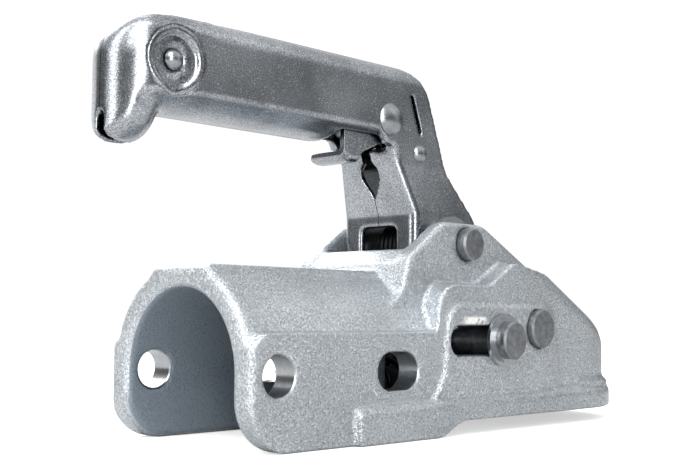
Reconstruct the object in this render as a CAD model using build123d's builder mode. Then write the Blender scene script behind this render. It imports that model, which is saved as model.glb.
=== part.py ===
import os
from math import asin, cos, hypot, radians, sin, tan

from build123d import *

os.makedirs("parts", exist_ok=True)

# All sizes are millimetres. X runs forward to the ball, Y across, Z up.
# The origin is on the rear cross bolt's axis, midway between the side walls.

# Clearances
flat_gap = 0.2
edge_gap = 0.05
turn_gap = 0.07
seat_gap = 0.3

# Drawbar sleeve, an inverted U
tube_radius = 30.0
side_wall = 10.7
arch_wall = 9.2
sleeve_back = 12.5
tube_reach = 76.0
tube_step = 2.0
skirt_depth = 26.0
pad_top = 14.6
pad_corner = 5.0
skirt_corner = 18.0
mouth_chamfer = 2.0
ridge_half = 15.0
ridge_drop = 1.0
ridge_flare = 5.0
end_round = 2.8

# Cross bolt holes, one round and one oblong
bolt_radius = 7.25
bolt_pitch = 59.4
bolt_stretch = 7.8

# Handle hinge between the ears
pivot_run = 35.4
pivot_z = 50.2
pivot_radius = 6.65
pivot_proud = 4.0
leg_half = 21.0
washer_thickness = 3.1
ear_wall = 7.0
ear_rise = 8.7
ear_edge = 2.0
ear_back = 15.1
ear_front = 11.1
ear_slope = 27.3
ear_tail = 24.6
ear_sink = 10.7
ear_shoulder = 20.7
collar_run = 6.0
collar_top = 47.5
collar_wall = 2.5
opening_lean = 16.0
opening_front = 28.6

# Side slots and the pin that slides in them
slide_run = 9.0
slide_z = 10.9
slide_radius = 5.9
slide_gap = 0.1
slide_travel = 27.0
slide_head_radius = 7.65
slide_head_height = 3.6
slide_washer_radius = 10.8
slide_washer_rim = 1.5
slide_hub_radius = 8.9
slide_hub_height = 1.6

# Claw pin through the side walls
claw_pin_run = 34.8
claw_pin_z = 15.6
claw_pin_radius = 8.2
claw_pin_proud = 2.7

# Shoulders, raised side bosses, bottom rim and nose
shoulder_run = 5.8
shoulder_z = 33.4
shoulder_lean = 2.4
shoulder_round = 11.0
step_run = 3.9
step_round = 5.0
brow_back_run = 20.6
brow_rise = 4.7
brow_run = 53.1
brow_z = 38.3
nose_slope = 28.4
nose_round = 9.0
nose_setback = 3.1
cast_edge = 2.0
boss_proud = 2.0
boss_taper = 40.0
boss_back_run = 6.0
boss_lean = 9.0
boss_front_run = 48.6
boss_top = 27.5
boss_fade_run = 36.6
boss_round = 11.0
rim_proud = 3.2
rim_back = 36.0
rim_height = 13.8
rim_bevel = 2.6
nose_floor = 20.2
ramp_back_run = 2.0
ramp_front_run = 21.0
lip_radius = 42.2
lip_height = 12.5
lip_reach = 2.6

# Ball, its socket and the claw behind it
ball_radius = 25.0
ball_run = 78.6
ball_z = -6.0
claw_bay_half = 20.5
claw_bay_top = 29.3
claw_hub_half = 12.0
claw_hub_radius = 13.0
claw_half = 17.0
claw_floor = 18.5
claw_lip = 22.0
claw_brow = 33.0
claw_brow_z = 6.5
claw_top = 23.0
claw_heel_z = 3.0
claw_toe = 12.0
claw_back_run = 37.6

# Closing spring, its guide and the slide block
web_half = 13.0
web_thickness = 6.0
web_floor = 19.0
spring_z = -7.0
spring_radius = 9.5
spring_wire = 2.4
spring_turns = 5.5
spring_bore = 11.0
spring_end_run = 24.6
guide_radius = 5.6
guide_length = 21.0
block_half = 13.0
block_wall = 2.7
block_back_run = 0.2
block_step_run = 19.9
block_front_run = 37.2
block_top = 20.0
beam_top = 1.5
beam_floor = -16.0

# Handle pressing
sheet = 3.0
grip_half = 17.0
grip_top = 124.0
grip_bottom = 90.0
grip_round = 8.5
crease_rise = 6.0
bulb_x = -38.5
bulb_radius = 13.3
sole_radius = 13.0
blend_end = -12.0
fold_round = 4.0
crease_front_run = -33.4
nose_back_x = -46.2
nose_bottom = 79.0
nose_front_x = -22.0
nose_lean = 4.0
nose_top_round = 15.5
top_round = 20.0
sole_round = 5.0
heel_round = 4.0
shoulder_top_run = -11.6
leg_kink_run = 4.1
leg_kink_z = 80.5
leg_front_run = 20.1
leg_front_z = 59.0
leg_taper = 5.0
leg_back_run = -20.4
leg_lean = 9.5
leg_flare = 4.0
leg_flare_top = 83.8
leg_flare_bottom = 62.6
leg_foot_z = 44.0
leg_open_top = 84.0
fork_reach = 47.5
fork_gap = 0.8
prong = 5.0
seam_gap = 0.5
slit_run = -19.3
slit_z = 112.2
slit_width = 2.2
slit_length = 16.3
slit_lean = 5.8
window_half = 9.7
window_top = 57.5
window_round = 2.5
relief_z = 79.5
relief_radius = 5.0
trigger_gap_run = -55.9
trigger_gap_length = 28.5
trigger_gap_half = 12.5
nose_gap_half = 2.2
nose_gap_height = 9.5
nose_gap_depth = 12.0

# Rivets through the handle
nose_rivet_x = -27.0
nose_rivet_z = 106.6
nose_rivet_radius = 3.0
nose_rivet_head = 3.7
nose_rivet_dome = 2.6
dish_radius = 12.2
dish_floor_radius = 9.2
dish_depth = 1.8
leg_rivet_run = -30.8
leg_rivet_z = 100.1
leg_rivet_radius = 4.2
leg_rivet_head = 6.75
leg_rivet_dome = 3.2
stop_rivet_run = -13.2
stop_rivet_z = 87.8
stop_rivet_radius = 2.4
stop_rivet_head = 3.8
stop_rivet_dome = 2.2
spacer_wall = 1.6
bush_radius = 5.2
bush_half = 11.8

# Hinge pin's washers and sleeves, and the disc the trigger catches on
pivot_washer_radius = 12.0
pivot_sleeve_radius = 9.0
pin_edge = 0.8
catch_radius = 16.8
catch_notch = 4.0

# Release trigger
trigger_sheet = 2.6
trigger_web_y = 9.0
tab_run = -52.4
tab_length = 8.5
tab_z = 81.8
tab_rise = 13.0
tab_bend = 4.0
trigger_hub = 9.0
arm_run = -2.1
arm_width = 3.7
hook_run = -8.8
hook_z = 66.9

# Torsion springs
coil_radius = 10.8
coil_wire = 2.4
coil_pitch = 2.5
coil_turns = 5.75
coil_start_y = -7.0
coil_arm = 16.0
small_radius = 7.0
small_wire = 1.2
small_pitch = 1.3
small_turns = 4.0
wire_sides = 5

# Worked out from the sizes above. Each run is a distance forward of the tube's end
# or, for the mechanism and the handle, forward of the hinge.
collar_x = tube_reach + collar_run
pivot_x = tube_reach + pivot_run
shoulder_x = tube_reach + shoulder_run
boss_back_x = tube_reach + boss_back_run
ramp_back = tube_reach + ramp_back_run
ramp_front = tube_reach + ramp_front_run
slide_x = pivot_x + slide_run
claw_pin_x = pivot_x + claw_pin_run
step_x = pivot_x + step_run
brow_back_x = pivot_x + brow_back_run
brow_x = pivot_x + brow_run
boss_front_x = pivot_x + boss_front_run
boss_fade = pivot_x + boss_fade_run
ball_x = pivot_x + ball_run
claw_back_x = pivot_x + claw_back_run
spring_end_x = pivot_x + spring_end_run
block_back_x = pivot_x + block_back_run
block_step_x = pivot_x + block_step_run
block_front_x = pivot_x + block_front_run
crease_front_x = pivot_x + crease_front_run
shoulder_top_x = pivot_x + shoulder_top_run
leg_kink_x = pivot_x + leg_kink_run
leg_front_x = pivot_x + leg_front_run
leg_back_x = pivot_x + leg_back_run
slit_x = pivot_x + slit_run
trigger_gap_x = pivot_x + trigger_gap_run
leg_rivet_x = pivot_x + leg_rivet_run
stop_rivet_x = pivot_x + stop_rivet_run
tab_x = pivot_x + tab_run
arm_x = pivot_x + arm_run
hook_x = pivot_x + hook_run
pad_half = tube_radius + side_wall
arch_radius = tube_radius + arch_wall
ridge_top = arch_radius - ridge_drop
boss_half = pad_half + boss_proud
rim_half = pad_half + rim_proud
ear_inner = leg_half + washer_thickness + 2 * flat_gap
ear_outer = ear_inner + ear_wall
ear_top = pivot_z + ear_rise
socket_radius = ball_radius + seat_gap
nose_x = ball_x - nose_setback
nose_tip = nose_x + pad_half
slot_half = slide_radius + slide_gap
slope_drop = tan(radians(nose_slope))
ear_drop = tan(radians(ear_slope))
open_x = pivot_x + opening_front
head_room = ear_top + 10
inner_half = grip_half - sheet
dome_x = nose_back_x + grip_half
dome_z = grip_top - grip_half
underside_radius = (grip_half ** 2 + crease_rise ** 2) / (2 * crease_rise)
fork_half = slide_radius + fork_gap + prong
fork_slot = slide_radius + fork_gap
slide_drop = hypot(slide_x - pivot_x, pivot_z - slide_z)
fork_lean_x = (slide_x - pivot_x) / slide_drop
fork_lean_z = (pivot_z - slide_z) / slide_drop
slide_head_y = boss_half + flat_gap + slide_washer_rim + slide_hub_height
web_face_x = tube_reach + 0.5 + web_thickness
spring_pitch = (spring_end_x - web_face_x - spring_wire - 2 * flat_gap) / spring_turns


def arch_face(radius, depth):
    # Inverted U: a half circle with straight legs down to -depth
    Circle(radius)
    Rectangle(2 * radius, depth, align=(Align.CENTER, Align.MAX))
    with Locations((0, -depth)):
        Rectangle(2 * radius, radius, align=(Align.CENTER, Align.MAX), mode=Mode.SUBTRACT)


def outline(*points):
    # Closed straight-sided outline in the current sketch
    Polygon(*points, align=None)


def corner(sketch, x, z):
    # The corner of an upright sketch that is nearest to (x, z)
    return sketch.vertices().sort_by_distance((x, z, 0))[0]


# Nose and shoulder body: side outline extruded across, trimmed to a round-nosed plan
with BuildPart() as front_body:
    with BuildSketch(Plane.XZ) as front_side:
        outline(
            (tube_reach, -skirt_depth),
            (tube_reach, pad_top),
            (shoulder_x, pad_top),
            (shoulder_x + shoulder_lean, shoulder_z),
            (step_x, shoulder_z),
            (brow_back_x, brow_z + brow_rise),
            (brow_x, brow_z),
            (nose_tip, brow_z - slope_drop * (nose_tip - brow_x)),
            (nose_tip, -skirt_depth),
        )
        fillet(corner(front_side, shoulder_x + shoulder_lean, shoulder_z), shoulder_round)
        fillet(corner(front_side, step_x, shoulder_z), step_round)
        fillet(corner(front_side, brow_back_x, brow_z + brow_rise), step_round)
    extrude(amount=pad_half, both=True)
    with BuildSketch(Plane.XY.offset(-skirt_depth)):
        with Locations((nose_x, 0)):
            Circle(pad_half)
        with Locations((tube_reach, 0)):
            Rectangle(nose_x - tube_reach, 2 * pad_half, align=(Align.MIN, Align.CENTER))
    extrude(amount=skirt_depth + ear_top, mode=Mode.INTERSECT)
    slope_face = front_body.faces().filter_by(
        lambda f: f.normal_at().Z > 0.5 and f.center().X > brow_x and f.center().Z < brow_z)[0]
    slope_edges = slope_face.edges().filter_by(lambda e: e.center().X > brow_x + 1)
    fillet(slope_edges, nose_round)

# Bottom rim that runs along both sides and round the nose
with BuildPart() as lower_rim:
    with BuildSketch(Plane.XZ):
        outline(
            (rim_back, -skirt_depth),
            (rim_back, rim_height - skirt_depth),
            (nose_tip + rim_proud, rim_height - skirt_depth + lip_reach),
            (nose_tip + rim_proud, -skirt_depth),
        )
    extrude(amount=rim_half, both=True)
    with BuildSketch(Plane.XY.offset(-skirt_depth)):
        with Locations((nose_tip - pad_half, 0)):
            Circle(rim_half)
        with Locations((rim_back, 0)):
            Rectangle(nose_tip - pad_half - rim_back, 2 * rim_half, align=(Align.MIN, Align.CENTER))
    extrude(amount=skirt_depth + ear_top, mode=Mode.INTERSECT)
    rim_tops = lower_rim.faces().sort_by(Axis.Z)[-1].edges()
    chamfer(rim_tops.filter_by(lambda e: e.center().X > rim_back + 1), rim_bevel)

# Raised boss round the slot and the claw pin, one on each side
with BuildPart() as side_boss:
    with BuildSketch(Plane.XZ.offset(pad_half - cast_edge)) as boss_side:
        outline(
            (boss_back_x - boss_lean, -nose_floor),
            (boss_back_x, 0),
            (boss_back_x + boss_lean / 3, boss_top),
            (boss_front_x, boss_top),
            (boss_front_x + boss_lean, -nose_floor),
        )
        fillet(corner(boss_side, boss_back_x + boss_lean / 3, boss_top), boss_round)
        fillet(corner(boss_side, boss_front_x, boss_top), boss_round)
    extrude(amount=boss_proud + cast_edge, taper=boss_taper)
    with BuildSketch(Plane.XY.offset(-skirt_depth)):
        outline(
            (boss_fade, -boss_half),
            (boss_front_x + boss_lean, -pad_half),
            (boss_front_x + boss_lean, -boss_half - 1),
            (boss_fade, -boss_half - 1),
        )
    extrude(amount=skirt_depth + boss_top, mode=Mode.SUBTRACT)
    mirror(about=Plane.XZ)

# Ears block, cut open between the ears further down
with BuildPart() as ear_block:
    with BuildSketch(Plane.XZ) as ear_side:
        outline(
            (collar_x - ear_tail, arch_radius / 2),
            (collar_x - ear_sink, arch_radius - arch_wall),
            (pivot_x - ear_back - ear_shoulder, ear_top - ear_back),
            (pivot_x - ear_back, ear_top),
            (pivot_x + ear_front, ear_top),
            (boss_front_x, ear_top - ear_drop * (boss_front_x - pivot_x - ear_front)),
            (boss_front_x, arch_radius / 2),
        )
        fillet(corner(ear_side, collar_x - ear_sink, arch_radius - arch_wall), 6)
        fillet(corner(ear_side, pivot_x - ear_back - ear_shoulder, ear_top - ear_back), 6)
        fillet(corner(ear_side, pivot_x - ear_back, ear_top), 10)
        fillet(corner(ear_side, pivot_x + ear_front, ear_top), 13)
    extrude(amount=ear_outer, both=True)
    side_faces = ear_block.faces().filter_by(Axis.Y)
    fillet(side_faces.edges().filter_by(lambda e: e.center().Z > arch_radius - 9), ear_edge)
    # Between the ears: a collar that slopes up from the ridge
    with BuildSketch(Plane.XZ) as collar_side:
        outline(
            (0, head_room),
            (0, ridge_top),
            (collar_x - 11, ridge_top),
            (collar_x, collar_top),
            (open_x, collar_top),
            (open_x, head_room),
        )
        fillet(corner(collar_side, collar_x - 11, ridge_top), 6)
        fillet(corner(collar_side, collar_x, collar_top), 1.5)
    extrude(amount=ear_inner, both=True, mode=Mode.SUBTRACT)

# Sleeve: an inverted U with a flat ridge along its top and a rounded rear end
with BuildPart() as sleeve:
    with BuildSketch(Plane.YZ.offset(-sleeve_back)):
        arch_face(arch_radius, skirt_depth)
        outline(
            (-ridge_half - ridge_flare, ridge_top - ridge_flare),
            (-ridge_half, ridge_top),
            (ridge_half, ridge_top),
            (ridge_half + ridge_flare, ridge_top - ridge_flare),
        )
        with Locations((0, ridge_top)):
            Rectangle(2 * arch_radius, arch_radius, align=(Align.CENTER, Align.MIN), mode=Mode.SUBTRACT)
    extrude(amount=sleeve_back + pivot_x)
    end_face = sleeve.faces().sort_by(Axis.X)[0]
    end_edges = end_face.edges().filter_by(lambda e: e.center().Z > 1 - skirt_depth)
    fillet(end_edges, end_round)

# Bolt pads on the sleeve's sides, bevelled at the upper rear corner
with BuildPart() as bolt_pads:
    with BuildSketch(Plane.XZ):
        outline(
            (-sleeve_back, -skirt_depth),
            (-sleeve_back, pad_top - pad_corner),
            (pad_corner - sleeve_back, pad_top),
            (pivot_x, pad_top),
            (pivot_x, -skirt_depth),
        )
    extrude(amount=pad_half, both=True)
    pad_ends = bolt_pads.edges().filter_by(
        lambda e: e.center().X < pad_corner - sleeve_back and abs(e.center().Y) > pad_half - 1)
    fillet(pad_ends, end_round)

with BuildPart() as housing:
    add(sleeve.part)
    add(bolt_pads.part)
    add(ear_block.part)
    add(front_body.part)
    add(side_boss.part)
    add(lower_rim.part)
    # Lip round the foot of the nose
    with BuildSketch(Plane.XY.offset(-skirt_depth)):
        with Locations((nose_tip + lip_reach - lip_radius, 0)):
            Circle(lip_radius)
    extrude(amount=skirt_depth - nose_floor + lip_height)
    # Underside: long sleeve walls, then a ramp up to the nose
    with BuildSketch(Plane.XZ):
        with BuildLine():
            l1 = Line((ramp_back, -skirt_depth - 9), (ramp_back, -skirt_depth))
            l2 = Spline(l1 @ 1, (ramp_front, -nose_floor), tangents=((1, 0), (1, 0)))
            l3 = Line(l2 @ 1, (nose_tip + 9, -nose_floor))
            l4 = Line(l3 @ 1, (nose_tip + 9, -skirt_depth - 9))
            Line(l4 @ 1, l1 @ 0)
        make_face()
    extrude(amount=rim_half + 9, both=True, mode=Mode.SUBTRACT)
    # Round lower rear corner
    with BuildSketch(Plane.XZ):
        with Locations((-sleeve_back, -skirt_depth)):
            Rectangle(skirt_corner, skirt_corner, align=(Align.MIN, Align.MIN))
        with Locations((skirt_corner - sleeve_back, skirt_corner - skirt_depth)):
            Circle(skirt_corner, mode=Mode.SUBTRACT)
    extrude(amount=rim_half, both=True, mode=Mode.SUBTRACT)
    # Channel for the drawbar tube and the wider room for the mechanism
    with BuildSketch(Plane.YZ.offset(-sleeve_back)):
        arch_face(tube_radius, skirt_depth)
    extrude(amount=sleeve_back + tube_reach, mode=Mode.SUBTRACT)
    with BuildSketch(Plane.YZ.offset(tube_reach)):
        arch_face(tube_radius - tube_step, skirt_depth)
    extrude(amount=open_x - tube_reach, mode=Mode.SUBTRACT)
    # Opening between the ears for the handle's legs
    with BuildSketch(Plane.XZ):
        outline(
            (collar_x + collar_wall, head_room),
            (collar_x + collar_wall, collar_top - 1.5),
            (tube_reach + 1, tube_step * 10),
            (tube_reach + 1, -skirt_depth),
            (open_x, -skirt_depth),
            (open_x, head_room),
        )
    extrude(amount=ear_inner, both=True, mode=Mode.SUBTRACT)
    # Bay for the claw and the ball socket
    with BuildSketch(Plane.XZ):
        outline(
            (open_x - 1, -skirt_depth),
            (open_x - 1, claw_bay_top),
            (ball_x - 26, claw_bay_top),
            (ball_x - 18, claw_bay_top - 8),
            (ball_x - 18, -skirt_depth),
        )
    extrude(amount=claw_bay_half, both=True, mode=Mode.SUBTRACT)
    with Locations((ball_x, 0, ball_z)):
        Sphere(socket_radius, mode=Mode.SUBTRACT)
    with Locations((ball_x, 0, ball_z + 8)):
        Box(26, 2 * socket_radius - 1, 40, align=(Align.MAX, Align.CENTER, Align.MAX), mode=Mode.SUBTRACT)
    # Web that the closing spring pushes against
    with BuildSketch(Plane.XZ):
        outline(
            (tube_reach + 0.5, -web_floor),
            (tube_reach + 0.5, arch_radius / 2),
            (collar_x + collar_wall, collar_top - 1.5),
            (collar_x + collar_wall, arch_radius / 2),
            (tube_reach + 0.5 + web_thickness, 0),
            (tube_reach + 0.5 + web_thickness, -web_floor),
        )
    extrude(amount=web_half, both=True)
    # Cross bolt holes, slots and pin holes
    with BuildSketch(Plane.XZ):
        Circle(bolt_radius)
        with Locations((bolt_pitch, 0)):
            SlotCenterToCenter(bolt_stretch, 2 * bolt_radius)
        with Locations((slide_x - slide_travel / 2, slide_z)):
            SlotCenterToCenter(slide_travel, 2 * slot_half)
        with Locations((pivot_x, pivot_z)):
            Circle(pivot_radius)
        with Locations((claw_pin_x, claw_pin_z)):
            Circle(claw_pin_radius)
    extrude(amount=rim_half, both=True, mode=Mode.SUBTRACT)
    # Chamfer round the mouth of the sleeve
    mouth_edges = housing.edges().filter_by(
        lambda e: abs(e.center().X + sleeve_back) < 0.01 and abs(e.center().Y) < tube_radius + 1
        and e.center().Z > -skirt_depth / 2 - 4 and hypot(e.center().Y, e.center().Z) < tube_radius + 3)
    chamfer(mouth_edges, mouth_chamfer)
housing.part.label = "housing"
export_step(housing.part, "parts/housing.step")


def handle_form(inset):
    # Closed outer shape of the pressing; with an inset, the hollow inside the sheet
    half = grip_half - inset
    with BuildPart() as form:
        with BuildSketch(Plane.XZ) as side:
            outline(
                (nose_back_x, grip_top),
                (shoulder_top_x, grip_top),
                (leg_kink_x, leg_kink_z),
                (leg_front_x, leg_front_z),
                (leg_front_x - leg_taper, leg_foot_z),
                (leg_back_x, leg_foot_z),
                (leg_back_x, leg_flare_bottom),
                (leg_back_x - leg_lean, grip_bottom),
                (nose_front_x, grip_bottom),
                (nose_front_x - nose_lean, nose_bottom),
                (nose_back_x, nose_bottom),
            )
            fillet(corner(side, nose_back_x, grip_top), nose_top_round)
            fillet(corner(side, shoulder_top_x, grip_top), top_round)
            fillet(corner(side, leg_kink_x, leg_kink_z), shoulder_round)
            fillet(corner(side, leg_front_x, leg_front_z), step_round)
            fillet(corner(side, leg_back_x - leg_lean, grip_bottom), heel_round)
            fillet(corner(side, nose_front_x, grip_bottom), heel_round)
            fillet(corner(side, nose_front_x - nose_lean, nose_bottom), sole_round)
            fillet(corner(side, nose_back_x, nose_bottom), sole_round)
            if inset:
                offset(amount=-inset, kind=Kind.INTERSECTION)
        extrude(amount=leg_half, both=True)
        with BuildSketch(Plane.YZ.offset(nose_back_x)) as section:
            outline(
                (-half, grip_top - inset),
                (half, grip_top - inset),
                (half, leg_flare_top),
                (half + leg_flare, leg_flare_bottom),
                (half + leg_flare, leg_foot_z - inset),
                (-half - leg_flare, leg_foot_z - inset),
                (-half - leg_flare, leg_flare_bottom),
                (-half, leg_flare_top),
            )
            fillet(corner(section, half, grip_top - inset), grip_round - inset)
            fillet(corner(section, -half, grip_top - inset), grip_round - inset)
        extrude(amount=leg_front_x - nose_back_x, mode=Mode.INTERSECT)
        with BuildSketch(Plane.XY.offset(leg_foot_z)):
            with Locations((nose_back_x + grip_half, 0)):
                Circle(half)
                Rectangle(leg_front_x - nose_back_x, 2 * leg_half, align=(Align.MIN, Align.CENTER))
        extrude(amount=grip_top - leg_foot_z, mode=Mode.INTERSECT)
        # Underside of the grip is rounded across, so it rises towards its sides
        add(underside_wedge(inset), mode=Mode.SUBTRACT)
        add(nose_corners(inset), mode=Mode.SUBTRACT)
        if not inset:
            add(fold_corners(), mode=Mode.SUBTRACT)
    return form.part


def underside_wedge(inset):
    # What the rounded underside and the round nose leave out below the grip
    crease_z = grip_bottom + crease_rise + inset
    with BuildPart() as wedge:
        with BuildSketch(Plane.XZ) as crease:
            outline(
                (nose_back_x, nose_bottom - 1),
                (nose_back_x, crease_z),
                (crease_front_x, crease_z),
                (crease_front_x, grip_bottom - 1),
                (nose_front_x + 2 * sheet, grip_bottom - 1),
                (nose_front_x + 2 * sheet, nose_bottom - 1),
            )
            fillet(corner(crease, crease_front_x, crease_z), crease_rise)
        extrude(amount=leg_half, both=True)
        with BuildSketch(Plane.YZ.offset(nose_back_x)):
            with Locations((0, grip_bottom + underside_radius)):
                Circle(underside_radius - inset)
        extrude(amount=leg_front_x - nose_back_x, mode=Mode.SUBTRACT)
        with BuildSketch(Plane.XY.offset(nose_bottom - 1)):
            with Locations((bulb_x, 0)):
                Circle(bulb_radius - inset)
        extrude(amount=grip_top - nose_bottom, mode=Mode.SUBTRACT)
    return wedge.part


def nose_corners(inset):
    # What the domed top and the rounded sole of the nose leave out
    half = grip_half - inset
    with BuildPart() as crown:
        for start, rounding in ((dome_x, half - flat_gap), (blend_end, grip_round - inset)):
            with BuildSketch(Plane.YZ.offset(start)) as section:
                with Locations((0, dome_z - flat_gap)):
                    Rectangle(2 * half, grip_half - inset + flat_gap, align=(Align.CENTER, Align.MIN))
                fillet(section.vertices().group_by(Axis.Y)[-1], rounding)
        loft(ruled=True)
    with BuildPart() as corners:
        with Locations((dome_x, 0, dome_z)):
            Box(dome_x - nose_back_x + 1, 2 * leg_half, grip_half + 1,
                align=(Align.MAX, Align.CENTER, Align.MIN))
            Box(blend_end - dome_x, 2 * leg_half, grip_half + 1,
                align=(Align.MIN, Align.CENTER, Align.MIN))
            Sphere(half + edge_gap, mode=Mode.SUBTRACT)
        add(crown.part, mode=Mode.SUBTRACT)
        with Locations((nose_front_x, 0, grip_bottom)):
            Box(nose_front_x - nose_back_x + 1, 2 * leg_half, grip_bottom - nose_bottom + 1,
                align=(Align.MAX, Align.CENTER, Align.MAX))
        with Locations((bulb_x, 0, nose_bottom + sole_radius)):
            Sphere(sole_radius - inset, mode=Mode.SUBTRACT)
    return corners.part


def fold_corners():
    # What the rounded folds between the legs' rear wall and their sides leave out
    half = leg_half + edge_gap
    back = leg_back_x - edge_gap
    lean = leg_lean * (leg_flare_top - leg_flare_bottom) / (grip_bottom - leg_flare_bottom)
    with BuildPart() as tube:
        for height, start, width in (
            (leg_foot_z - 1, back, half),
            (leg_flare_bottom, back, half),
            (leg_flare_top, back - lean, half - leg_flare),
            (grip_bottom, back - leg_lean, half - leg_flare),
        ):
            with BuildSketch(Plane.XY.offset(height)):
                with Locations((start + leg_front_x / 2, 0)):
                    RectangleRounded(leg_front_x, 2 * width, fold_round)
        loft(ruled=True)
    with BuildPart() as waste:
        with Locations((crease_front_x, 0, leg_foot_z - 1)):
            Box(leg_back_x + fold_round - crease_front_x, 2 * leg_half + 2, grip_bottom - leg_foot_z + 1,
                align=(Align.MIN, Align.CENTER, Align.MIN))
        add(tube.part, mode=Mode.SUBTRACT)
    return waste.part


def rivet_form(x, z, shank, span, head, dome):
    # Round shank across the handle with a domed head at each end
    cap = (head * head + dome * dome) / (2 * dome)
    lean = asin(head / cap) / 2
    tip = span + dome
    with BuildPart() as form:
        with BuildSketch(Plane.XY.offset(z)):
            with BuildLine():
                Polyline((x, 0), (x + shank, 0), (x + shank, span), (x + head, span))
                ThreePointArc(
                    (x + head, span),
                    (x + cap * sin(lean), tip - cap + cap * cos(lean)),
                    (x, tip),
                )
                Line((x, tip), (x, 0))
            make_face()
        revolve(axis=Axis((x, 0, z), (0, 1, 0)))
        mirror(about=Plane.XZ)
    return form.part


def ring_form(x, z, inner, outer, y_low, y_high):
    # Plain ring or sleeve across the part
    with BuildPart() as form:
        with BuildSketch(Plane.XZ.offset(-y_high)):
            with Locations((x, z)):
                Circle(outer)
                Circle(inner, mode=Mode.SUBTRACT)
        extrude(amount=y_high - y_low)
    return form.part


def pin_form(x, z, radius, half, edge):
    # Plain round pin across the part with chamfered ends
    with BuildPart() as form:
        with BuildSketch(Plane.XZ):
            with Locations((x, z)):
                Circle(radius)
        extrude(amount=half, both=True)
        chamfer(form.edges().filter_by(GeomType.CIRCLE), edge)
    return form.part


def fork_point(along, across):
    # Point on the fork, measured from the hinge along its prongs and across them
    return (
        pivot_x + fork_lean_x * along + fork_lean_z * across,
        pivot_z - fork_lean_z * along + fork_lean_x * across,
    )


with BuildPart() as outer_form:
    add(handle_form(0))

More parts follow.
